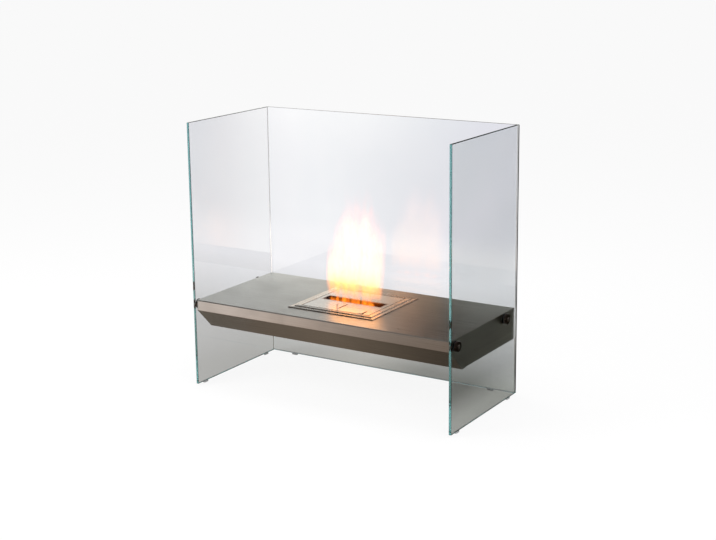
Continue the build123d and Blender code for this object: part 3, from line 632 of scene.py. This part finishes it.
def make_felt_tree():
    """A block of pressed fibre: round edges, an uneven skin inside the block, loose fibres on top."""
    graph, given, out = geometry_tree("pressed_fibre", {
        "Middle": ("Vector", None), "Half Size": ("Vector", None), "Cells": ("Vector", None),
        "Edge Radius": ("Float", 0.003), "Unevenness": ("Float", 0.0012), "Fibre Length": ("Float", 0.009),
        "Fibre Radius": ("Float", 0.00018), "Fibres per Area": ("Float", 60000.0), "Seed": ("Int", 1),
        "Material": ("Material", None)})
    middle, half, edge, seed = (given[name] for name in ("Middle", "Half Size", "Edge Radius", "Seed"))
    cells = graph.axes(given["Cells"])
    counts = {"Vertices " + axis: cells[axis] for axis in "XYZ"}
    block = graph.first("GeometryNodeMeshCube", {"Size": graph.vector("ADD", half, half), **counts})
    place = graph.first("GeometryNodeInputPosition")
    inner = graph.vector("SUBTRACT", half, graph.joined(X=edge, Y=edge, Z=edge))
    kept = graph.held(place, graph.vector("MULTIPLY", inner, (-1.0, -1.0, -1.0)), inner)
    outward = graph.vector("NORMALIZE", graph.vector("SUBTRACT", place, kept))
    lumps = graph.math("ADD", graph.times(graph.noise(place, 55.0, detail=2.0), 0.6),
                       graph.times(graph.noise(place, 420.0, detail=2.0), 0.4))
    sunk = graph.times(graph.smooth(lumps, 0.35, 0.65, 1.0, 0.0), given["Unevenness"])
    skin = graph.scaled(outward, graph.math("SUBTRACT", edge, sunk))
    rounded = graph.vector("ADD", graph.vector("ADD", kept, skin), middle)
    block = graph.first("GeometryNodeSetShadeSmooth", {"Geometry": moved(graph, block, Position=rounded)})

    up = graph.axes(graph.first("GeometryNodeInputNormal"))["Z"]
    roots = graph.first("GeometryNodeDistributePointsOnFaces",
                        {"Mesh": block, "Selection": graph.math("GREATER_THAN", up, 0.5),
                         "Density": given["Fibres per Area"], "Seed": seed})
    bow = {"Resolution": 6, "Start": (-0.5, 0.0, 0.0), "Middle": (0.0, 0.22, 0.0), "End": (0.5, 0.0, 0.0)}
    thin = graph.math("DIVIDE", given["Fibre Radius"], given["Fibre Length"])
    section = graph.first("GeometryNodeCurvePrimitiveCircle", {"Resolution": 3, "Radius": thin})
    strand = graph.first("GeometryNodeCurveToMesh",
                         {"Curve": graph.first("GeometryNodeCurveQuadraticBezier", bow),
                          "Profile Curve": section, "Fill Caps": True})
    index = graph.first("GeometryNodeInputIndex")
    turn = graph.joined(X=random_between(graph, -FIBRE_TILT, FIBRE_TILT, index, seed, 1),
                        Y=random_between(graph, -FIBRE_TILT, FIBRE_TILT, index, seed, 2),
                        Z=random_between(graph, 0.0, FULL_TURN, index, seed, 3))
    length = graph.times(given["Fibre Length"], random_between(graph, 0.5, 1.0, index, seed, 4))
    fibres = graph.first("GeometryNodeInstanceOnPoints",
                         {"Points": roots, "Instance": strand, "Rotation": turn, "Scale": length})
    whole = graph.add("GeometryNodeJoinGeometry")
    for part in (graph.first("GeometryNodeRealizeInstances", {"Geometry": fibres}), block):
        graph.feed(whole.inputs[0], part)
    low, high = (graph.vector(side, middle, half) for side in ("SUBTRACT", "ADD"))
    within = graph.held(graph.first("GeometryNodeInputPosition"), low, high)
    whole = moved(graph, whole.outputs[0], Position=within)
    graph.feed(out, coated(graph, whole, given["Material"]))
    return graph.tree


def make_felt(name, node, tree, cells, finish, **sizes):
    """A fibre piece in the space of a plain solid of the frame."""
    low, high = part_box(node)
    piece = grow(name, tree, **{"Middle": tuple((low + high) / 2), "Half Size": half_size(node),
                                "Cells": cells, "Material": finish, **sizes})
    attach(piece, "burner")
    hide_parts(node)


FELT_TREE = make_felt_tree()
make_felt("wick_felt", "wick_strip", FELT_TREE, (100.0, 24.0, 12.0),
          ceramic_fibre("wick_fibre", 0.304, 0.316),
          **{"Edge Radius": 0.0035, "Unevenness": 0.0016, "Seed": 21})
make_felt("absorber_felt", "fuel_absorber", FELT_TREE, (90.0, 82.0, 12.0),
          ceramic_fibre("absorber_fibre", 0.5, 0.6),
          **{"Edge Radius": 0.009, "Unevenness": 0.0012, "Fibre Length": 0.012,
             "Fibres per Area": 20000.0, "Seed": 31})


# ---------------------------------------- flames

FLAME_COLOURS = (0.34, 0.64)   # heights that the ramps below run between
FLAME_SKIN = [(0.0, (1.0, 0.20, 0.012)), (0.08, (1.0, 0.25, 0.045)), (0.25, (1.0, 0.38, 0.14)),
              (0.45, (1.0, 0.42, 0.31)), (1.0, (1.0, 0.36, 0.33))]
FLAME_HEART = [(0.0, (1.0, 0.25, 0.018)), (0.08, (1.0, 0.34, 0.045)), (0.20, (1.0, 0.46, 0.105)),
               (0.33, (1.0, 0.80, 0.38)), (1.0, (1.0, 0.88, 0.55))]
TONGUE_OUTLINE = [(0.0, 0.0), (0.03, 0.46), (0.14, 0.66), (0.32, 0.92), (0.58, 1.0), (0.80, 0.84),
                  (0.93, 0.50), (1.0, 0.0)]
FLAME_SKYLINE = [(0.0, 0.60), (0.12, 0.78), (0.26, 0.92), (0.42, 0.98), (0.58, 1.0), (0.72, 1.0),
                 (0.86, 0.92), (1.0, 0.76)]
TONGUE_RINGS = 24
RING_CORNERS = 14
CORE_HEIGHT = 0.72             # a core's height, as a share of its skin's
OUT_OF_LINE = 0.0045           # how far a tongue may stand before or behind its row
HALF = (0.5, 0.5, 0.5)         # the middle of a noise colour
LICK_SCALE = (60.0, 60.0, 11.0)
TIP_FADE = (0.60, 1.0)         # a tongue thins between these shares of its height
COVERS = (0.7, 1.5)            # how much a skin and a core hide, as shares of a flame's cover

# Noise scale, noise detail and strength of the broad sway, then of the flicker
SWAYS = (((9.0, 9.0, 6.0), 1.0, (1.0, 0.55, 0.0)), ((42.0, 42.0, 16.0), 2.0, (0.35, 0.22, 0.0)))
SEED_STEP = 3.7                # how far apart in that noise one seed's flames lie from the next's
SWAY_POWER = 1.3               # a tongue sways with this power of the share of its height


def make_flame_tree():
    """Tongues of flame in a row, each a nest of closed shells from its skin to its core."""
    graph, given, out = geometry_tree("flame_tongues", {
        "Tongues": ("Int", 9), "Shells": ("Int", 6), "Row Length": ("Float", 0.2),
        "Row Middle": ("Vector", None), "Height": ("Float", 0.38), "Half Width": ("Float", 0.028),
        "Half Depth": ("Float", 0.015), "Core": ("Float", 0.25), "Sway": ("Float", 0.05),
        "Lean": ("Float", 0.0), "Seed": ("Int", 3), "Material": ("Material", None)})
    tongues, shells, length, seed = (given[name] for name in ("Tongues", "Shells", "Row Length", "Seed"))
    index = graph.first("GeometryNodeInputIndex")
    tongue = graph.math("FLOOR", graph.math("DIVIDE", graph.math("ADD", index, 0.5), shells))
    shell = graph.math("SUBTRACT", index, graph.times(tongue, shells))
    depth = graph.math("DIVIDE", shell, graph.math("SUBTRACT", shells, 1.0))
    along = graph.math("DIVIDE", tongue, graph.math("SUBTRACT", tongues, 1.0))
    stray = graph.times(random_between(graph, -0.5, 0.5, tongue, seed), graph.math("DIVIDE", length, tongues))
    across = graph.math("ADD", graph.times(graph.math("SUBTRACT", along, 0.5), length), stray)
    forward = random_between(graph, -OUT_OF_LINE, OUT_OF_LINE, tongue, seed, 1)
    foot = graph.vector("ADD", graph.joined(X=across, Y=forward), given["Row Middle"])
    feet = {"Count": graph.times(tongues, shells), "Position": foot, "Radius": 0.01}
    points = marked(graph, graph.first("GeometryNodePoints", feet), "core", depth)

    line = graph.first("GeometryNodeCurvePrimitiveLine", {"Start": (0.0, 0.0, 0.0), "End": (0.0, 0.0, 1.0)})
    line = graph.first("GeometryNodeResampleCurve", {"Curve": line, "Count": TONGUE_RINGS})
    rise = graph.add("GeometryNodeSplineParameter").outputs["Factor"]
    line = marked(graph, line, "rise", rise)
    ring = graph.first("GeometryNodeCurvePrimitiveCircle", {"Resolution": RING_CORNERS, "Radius": 1.0})
    girths = {"Curve": line, "Profile Curve": ring, "Scale": curve_of(graph, rise, TONGUE_OUTLINE)}
    shape = graph.first("GeometryNodeCurveToMesh", girths)
    shape = graph.first("GeometryNodeMergeByDistance", {"Geometry": shape, "Distance": 0.0001})

    girth = graph.spread(depth, 0.0, 1.0, 1.0, given["Core"])
    uneven = random_between(graph, 0.90, 1.06, tongue, seed, 2)
    height = graph.times(curve_of(graph, along, FLAME_SKYLINE), uneven, given["Height"],
                         graph.spread(depth, 0.0, 1.0, 1.0, CORE_HEIGHT))
    width = graph.times(given["Half Width"], girth, random_between(graph, 0.80, 1.10, tongue, seed, 3))
    size = graph.joined(X=width, Y=graph.times(given["Half Depth"], girth), Z=height)
    placed = graph.first("GeometryNodeInstanceOnPoints", {"Points": points, "Instance": shape, "Scale": size})
    flames = graph.first("GeometryNodeRealizeInstances", {"Geometry": placed})

    place = graph.first("GeometryNodeInputPosition")
    up = graph.first("GeometryNodeInputNamedAttribute", {"Name": "rise"}, data_type="FLOAT")
    shift = graph.joined(X=graph.times(seed, SEED_STEP))
    waves = []
    for scale, detail, strength in SWAYS:
        pattern = graph.vector("ADD", graph.vector("MULTIPLY", place, scale), shift)
        wave = graph.vector("SUBTRACT", graph.noise(pattern, 1.0, detail=detail, output=1), HALF)
        waves.append(graph.vector("MULTIPLY", wave, strength))
    reach = graph.times(graph.math("POWER", up, SWAY_POWER), given["Sway"])
    flames = moved(graph, flames, Offset=graph.scaled(graph.vector("ADD", *waves), reach))
    above_lid = graph.math("SUBTRACT", graph.axes(place)["Z"], RAISED_LID_TOP)
    lean = graph.joined(X=graph.times(graph.math("MAXIMUM", above_lid, 0.0), given["Lean"]))
    flames = moved(graph, flames, Offset=lean)
    flames = graph.first("GeometryNodeSetShadeSmooth", {"Geometry": flames})
    graph.feed(out, coated(graph, flames, given["Material"]))
    return graph.tree


def flame_light(name, cover, strength, foot_fade, tear):
    """Burning vapour: each shell glows a little and hides little, thins to its tips and breaks into licks."""
    material, graph, shader, place = new_finish(name)
    rise, core = (graph.add("ShaderNodeAttribute", attribute_name=kept).outputs["Fac"]
                  for kept in ("rise", "core"))
    height = graph.axes(place)["Z"]
    level = graph.spread(height, *FLAME_COLOURS)
    glow = graph.blend(core, graph.ramp(level, FLAME_SKIN), graph.ramp(level, FLAME_HEART))
    pattern = graph.vector("MULTIPLY", place, LICK_SCALE)
    streaks = graph.noise(pattern, 1.0, detail=3.0, roughness=0.55)
    foot = graph.smooth(height, *foot_fade)
    tip = graph.smooth(rise, *TIP_FADE, 1.0, 0.15)
    torn = graph.smooth(graph.math("SUBTRACT", streaks, graph.times(rise, 0.12)), *tear)
    thick = graph.spread(core, 0.0, 1.0, *COVERS)
    graph.fill(shader, {
        "Base Color": BLACK, "Roughness": 1.0, "Specular IOR Level": 0.0, "Emission Color": glow,
        "Emission Strength": strength, "Alpha": graph.times(foot, tip, torn, thick, cover)})
    return material


def make_flames():
    """The flames stand in the trough and rise through the slot."""
    tree = make_flame_tree()
    tall = grow("flames_tall", tree, **{
        "Tongues": 13, "Shells": 7, "Row Length": 0.1955, "Row Middle": (-0.0022, 0.005, 0.319),
        "Height": 0.450, "Half Width": 0.0300, "Half Depth": 0.0190, "Core": 0.22, "Sway": 0.064,
        "Lean": 0.035, "Seed": 5,
        "Material": flame_light("flame_tall", 0.052, 2.8, (0.345, 0.405, 0.0, 1.0), (0.24, 0.50))})
    low = grow("flames_low", tree, **{
        "Tongues": 19, "Shells": 4, "Row Length": 0.186, "Row Middle": (-0.010, 0.005, 0.319),
        "Height": 0.055, "Half Width": 0.0095, "Half Depth": 0.0125, "Core": 0.3, "Sway": 0.03,
        "Seed": 11,
        "Material": flame_light("flame_low", 0.130, 2.3, (0.318, 0.328, 0.3, 1.0), (0.35, 0.60))})
    for flames in (tall, low):
        flames.visible_shadow = False
        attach(flames, "burner")
        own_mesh(flames)


make_flames()


# ---------------------------------------- floor, light and camera

FLOOR_HALF = 40.0
WHITE = colour(1.0, 1.0, 1.0)
FLOOR_WHITENESS = 0.90         # to the camera, the share of plain white over the shadow
FLOOR_GLAZING = 0.85           # through glass, the share of the tones below over the lit floor

# The floor's painted light and shade as glass shows them, and how far off each gives way to the next
NEAR_FLOOR = [(0.06, (0.395, 0.385, 0.38)), (0.25, (0.42, 0.41, 0.395)), (0.42, (0.44, 0.425, 0.395)),
              (0.56, (0.20, 0.20, 0.185)), (0.67, (0.168, 0.168, 0.155)), (0.74, (0.38, 0.38, 0.355))]
PALE_BAND = colour(0.93, 0.905, 0.95)
MIDDLE_FLOOR = [(0.15, (0.88, 0.865, 0.905)), (0.36, (1.02, 1.00, 1.035)), (0.43, (1.02, 1.005, 1.04)),
                (0.63, (0.84, 0.83, 0.885)), (0.72, (0.885, 0.85, 0.93)), (0.77, (0.845, 0.82, 0.895))]
FAR_FLOOR = [(0.246, (0.885, 0.87, 0.925)), (0.395, (1.17, 1.14, 1.16)), (0.50, (1.10, 1.085, 1.11)),
             (0.59, (0.94, 0.935, 0.985)), (0.66, (0.87, 0.85, 0.935))]
NEAR_ENDS = (0.34, 1.57)
BAND_ENDS = (1.8, 2.7)
MIDDLE_ENDS = (2.9, 7.5)
NEAR_SIDES = (-1.0, 1.0)       # NEAR_FLOOR runs from left to right between these
SLANTS = (-1.2, 0.0)           # the tones further off run between these slants from the object
SIDEWAYS = 0.5                 # what a step to the side counts beside one to the front or rear
DRAWN_IN = (0.1, 0.4, 1.0, 1.22)         # on the right it all stands nearer: from, to, share at each

# The same as metal shows them
WARM_POOL = [(0.12, (1.55, 1.42, 1.32)), (0.19, (1.38, 1.26, 1.19)), (0.315, (1.07, 0.88, 0.76)),
             (0.37, (0.80, 0.63, 0.52)), (0.44, (0.40, 0.31, 0.25)), (0.585, (0.22, 0.17, 0.13)),
             (0.68, (0.06, 0.055, 0.04)), (0.80, (0.006, 0.006, 0.004))]
UNDER_HEARTH = [(0.20, (0.20, 0.17, 0.14)), (0.35, (0.19, 0.155, 0.125)), (0.47, (0.235, 0.185, 0.14)),
                (0.58, (0.10, 0.08, 0.06)), (0.70, (0.02, 0.02, 0.015))]
BEYOND_POOL = colour(0.34, 0.35, 0.36)
UNDER_ENDS = (0.25, 0.95)
POOL_ENDS = (1.55, 2.1)
POOL_SIDES = (-2.0, 2.0)       # both run from left to right between these

# The card that metal shows behind the object
CARD_SIDES = (-2.5, 0.8)
CARD_BEHIND = 0.5
CARD_HEIGHTS = (0.34, 1.6)
CARD_FADE = (0.57, 0.80)       # its right end fades out between these
CARD_TONES = (-1.4, 0.6)       # the tones below run from left to right between these
CARD_CHANGE = (0.43, 0.60)     # heights between which its foot gives way to its head
CARD_GLOW = (0.36, 0.58, 2.25, 1.10)     # from, to, and its strength at each of these heights
CARD_FOOT = [(0.20, (0.62, 0.62, 0.61)), (0.44, (0.60, 0.59, 0.565)), (0.576, (0.53, 0.475, 0.42)),
             (0.64, (0.44, 0.28, 0.195)), (0.668, (0.40, 0.24, 0.165)), (0.70, (0.195, 0.145, 0.112)),
             (0.745, (0.120, 0.108, 0.092)), (0.82, (0.195, 0.193, 0.182))]
CARD_HEAD = [(0.20, (0.62, 0.62, 0.61)), (0.44, (0.60, 0.59, 0.565)), (0.576, (0.50, 0.44, 0.385)),
             (0.64, (0.30, 0.20, 0.145)), (0.677, (0.16, 0.11, 0.085)), (0.712, (0.034, 0.031, 0.024)),
             (0.80, (0.04, 0.035, 0.03))]

STUDIO_HEIGHTS = [(0.0, (0.62, 0.60, 0.58)), (0.25, (0.52, 0.51, 0.50)), (0.6, (0.30, 0.30, 0.31)),
                  (1.0, (0.75, 0.76, 0.80))]
STUDIO_ENDS = (-0.1, 1.0)      # the heights' tones run from just below level to straight up
BRIGHT_SIDE = (-0.80, 0.45, 0.0)         # the way to the studio's bright left rear
BRIGHT_EDGE = (0.55, 0.90)     # how nearly a ray goes that way where it turns bright, and is brightest
DIM_TINT = colour(0.36, 0.335, 0.31)
BRIGHT_TINT = colour(1.25, 1.27, 1.25)


def either(graph, share, shown, otherwise):
    """One shader where share is 1, another where it is 0."""
    made = graph.add("ShaderNodeMixShader", {"Fac": share})
    graph.feed(made.inputs[1], otherwise)
    graph.feed(made.inputs[2], shown)
    return made.outputs[0]


def seen_as(graph, ray, shown, otherwise):
    """One shader for rays of that kind, another for the rest."""
    return either(graph, graph.add("ShaderNodeLightPath").outputs[ray], shown, otherwise)


def seen_in_metal(graph):
    """1 for a ray that was mirrored just once, also where it then went on through glass."""
    bounces = graph.add("ShaderNodeLightPath").outputs["Glossy Depth"]
    return graph.math("COMPARE", bounces, 1.0, 0.5)


def by_ray(graph, camera, glass, mirror, rest):
    """The shader that each kind of ray gets."""
    surface = seen_as(graph, "Is Glossy Ray", mirror, rest)
    surface = seen_as(graph, "Is Transmission Ray", glass, surface)
    surface = either(graph, seen_in_metal(graph), mirror, surface)
    return seen_as(graph, "Is Camera Ray", camera, surface)


def floor_through_glass(graph, place):
    """The floor as glass shows it: shaded under the object, then a pale band, then dimmer on the right."""
    along = graph.axes(graph.vector("ABSOLUTE", place))
    across = graph.axes(place)["X"]
    reach = graph.math("MAXIMUM", along["Y"], graph.times(along["X"], SIDEWAYS))
    reach = graph.times(reach, graph.smooth(across, *DRAWN_IN))
    lean = graph.math("DIVIDE", across, graph.math("ADD", along["Y"], 0.05))
    slant = graph.spread(lean, *SLANTS)
    near = graph.ramp(graph.spread(across, *NEAR_SIDES), NEAR_FLOOR)
    far = graph.blend(graph.smooth(reach, *MIDDLE_ENDS), graph.ramp(slant, MIDDLE_FLOOR),
                      graph.ramp(slant, FAR_FLOOR))
    away = graph.blend(graph.smooth(reach, *BAND_ENDS), PALE_BAND, far)
    return graph.blend(graph.spread(reach, *NEAR_ENDS), near, away)


def floor_in_metal(graph, place):
    """The floor as metal shows it: a warm pool in front on the left, dim on the right, dark underneath."""
    axes = graph.axes(place)
    across = graph.spread(axes["X"], *POOL_SIDES)
    pool = graph.ramp(across, WARM_POOL)
    beyond = graph.blend(1.0, pool, BEYOND_POOL, way="MULTIPLY")
    reach = graph.math("ABSOLUTE", axes["Y"])
    tone = graph.blend(graph.smooth(reach, *POOL_ENDS), pool, beyond)
    return graph.blend(graph.smooth(reach, *UNDER_ENDS), graph.ramp(across, UNDER_HEARTH), tone)


def floor_finish():
    """Pale floor: white to the camera but for the shadow; to glass and to metal, painted pools of light and
    shade.
    """
    material = bpy.data.materials.new("floor")
    graph = emptied(material)
    place = graph.add("ShaderNodeTexCoord").outputs["Object"]
    lit = graph.first("ShaderNodeBsdfDiffuse", {"Color": colour(0.95, 0.945, 0.94)})
    white, glazed, mirrored = (
        graph.first("ShaderNodeEmission", {"Color": tone})
        for tone in (WHITE, floor_through_glass(graph, place), floor_in_metal(graph, place)))
    shadowed = either(graph, FLOOR_WHITENESS, white, lit)
    glazed = either(graph, FLOOR_GLAZING, glazed, lit)
    graph.add("ShaderNodeOutputMaterial", {"Surface": by_ray(graph, shadowed, glazed, mirrored, lit)})
    return material


def stage_sheet(name, corners, material):
    mesh = bpy.data.meshes.new(name)
    mesh.from_pydata(corners, [], [(0, 1, 2, 3)])
    mesh.materials.append(material)
    sheet = bpy.data.objects.new(name, mesh)
    SCENE.collection.objects.link(sheet)
    return sheet


def make_reflector():
    """A card behind the object that only metal shows: pale left, brown right, dimmer higher up."""
    material = bpy.data.materials.new("reflector")
    graph = emptied(material)
    place = graph.axes(graph.add("ShaderNodeTexCoord").outputs["Object"])
    across = graph.spread(place["X"], *CARD_TONES)
    tone = graph.blend(graph.smooth(place["Z"], *CARD_CHANGE), graph.ramp(across, CARD_FOOT),
                       graph.ramp(across, CARD_HEAD))
    lift = graph.smooth(place["Z"], *CARD_GLOW)
    glow = graph.first("ShaderNodeEmission", {"Color": tone, "Strength": lift})
    nothing = graph.first("ShaderNodeBsdfTransparent")
    shown = graph.times(seen_in_metal(graph), graph.smooth(place["X"], *CARD_FADE, 1.0, 0.0))
    graph.add("ShaderNodeOutputMaterial", {"Surface": either(graph, shown, glow, nothing)})
    (left, right), (low, high) = CARD_SIDES, CARD_HEIGHTS
    corners = [(x, CARD_BEHIND, z) for x, z in ((left, low), (right, low), (right, high), (left, high))]
    card = stage_sheet("reflector", corners, material)
    card.visible_camera = False
    card.visible_diffuse = False
    card.visible_shadow = False


def make_floor():
    corners = [(x * FLOOR_HALF, y * FLOOR_HALF, 0.0) for x, y in ((-1, -1), (1, -1), (1, 1), (-1, 1))]
    stage_sheet("floor", corners, floor_finish())


def make_world():
    """White to the camera, nearly so through glass; mirrored, a studio with a bright left rear."""
    world = bpy.data.worlds.new("studio")
    SCENE.world = world
    graph = emptied(world)
    way = graph.add("ShaderNodeTexCoord").outputs["Generated"]
    height = graph.axes(way)["Z"]
    level = graph.ramp(graph.spread(height, *STUDIO_ENDS), STUDIO_HEIGHTS, "EASE")
    side = graph.smooth(graph.vector("DOT_PRODUCT", way, BRIGHT_SIDE), *BRIGHT_EDGE)
    sheen = graph.blend(side, DIM_TINT, BRIGHT_TINT)
    glossy = graph.blend(1.0, level, sheen, way="MULTIPLY")
    lit, mirrored, glazed, white = (
        graph.first("ShaderNodeBackground", {"Color": tone})
        for tone in (colour(0.50, 0.50, 0.51), glossy, colour(0.93, 0.93, 0.95), WHITE))
    graph.add("ShaderNodeOutputWorld", {"Surface": by_ray(graph, white, glazed, mirrored, lit)})


def face(piece, way):
    """Turns a lamp or a camera so that it looks that way; the quaternion is given back."""
    piece.rotation_mode = "QUATERNION"
    piece.rotation_quaternion = way.to_track_quat("-Z", "Y")
    return piece.rotation_quaternion


def softbox(name, place, target, size, power):
    lamp = bpy.data.lights.new(name, "AREA")
    lamp.shape = "RECTANGLE"
    lamp.size, lamp.size_y = size
    lamp.energy = power
    box = bpy.data.objects.new(name, lamp)
    SCENE.collection.objects.link(box)
    box.location = place
    face(box, Vector(target) - Vector(place))
    box.visible_camera = False
    box.visible_glossy = False
    box.visible_transmission = False


def make_lights():
    """Three soft boxes; a size is in metres and a power in watts."""
    target = (0.0, 0.0, 0.4)
    softbox("key", (-2.4, -2.6, 2.8), target, (2.2, 1.6), 90.0)
    softbox("fill", (2.8, -2.2, 2.0), target, (1.6, 1.6), 25.0)
    softbox("top", (0.0, 0.3, 3.2), target, (2.6, 1.8), 60.0)


def make_camera():
    lens = bpy.data.cameras.new("camera")
    lens.sensor_width = SENSOR_WIDTH
    lens.lens = FOCAL_PIXELS / PHOTO_WIDTH * SENSOR_WIDTH
    lens.shift_y = CAMERA_SHIFT_UP
    camera = bpy.data.objects.new("camera", lens)
    SCENE.collection.objects.link(camera)
    level = math.cos(CAMERA_ELEVATION)
    back = Vector((math.sin(CAMERA_AZIMUTH) * level, -math.cos(CAMERA_AZIMUTH) * level,
                   math.sin(CAMERA_ELEVATION)))
    camera.location = CAMERA_PLACE
    camera.rotation_quaternion = face(camera, -back) @ Quaternion((0.0, 0.0, 1.0), CAMERA_ROLL)
    SCENE.camera = camera


def set_view():
    SCENE.view_settings.view_transform = "Standard"
    SCENE.cycles.max_bounces = 32
    SCENE.cycles.glossy_bounces = 32
    SCENE.cycles.transmission_bounces = 32
    SCENE.cycles.transparent_max_bounces = 96


make_floor()
make_reflector()
make_world()
make_lights()
make_camera()
set_view()
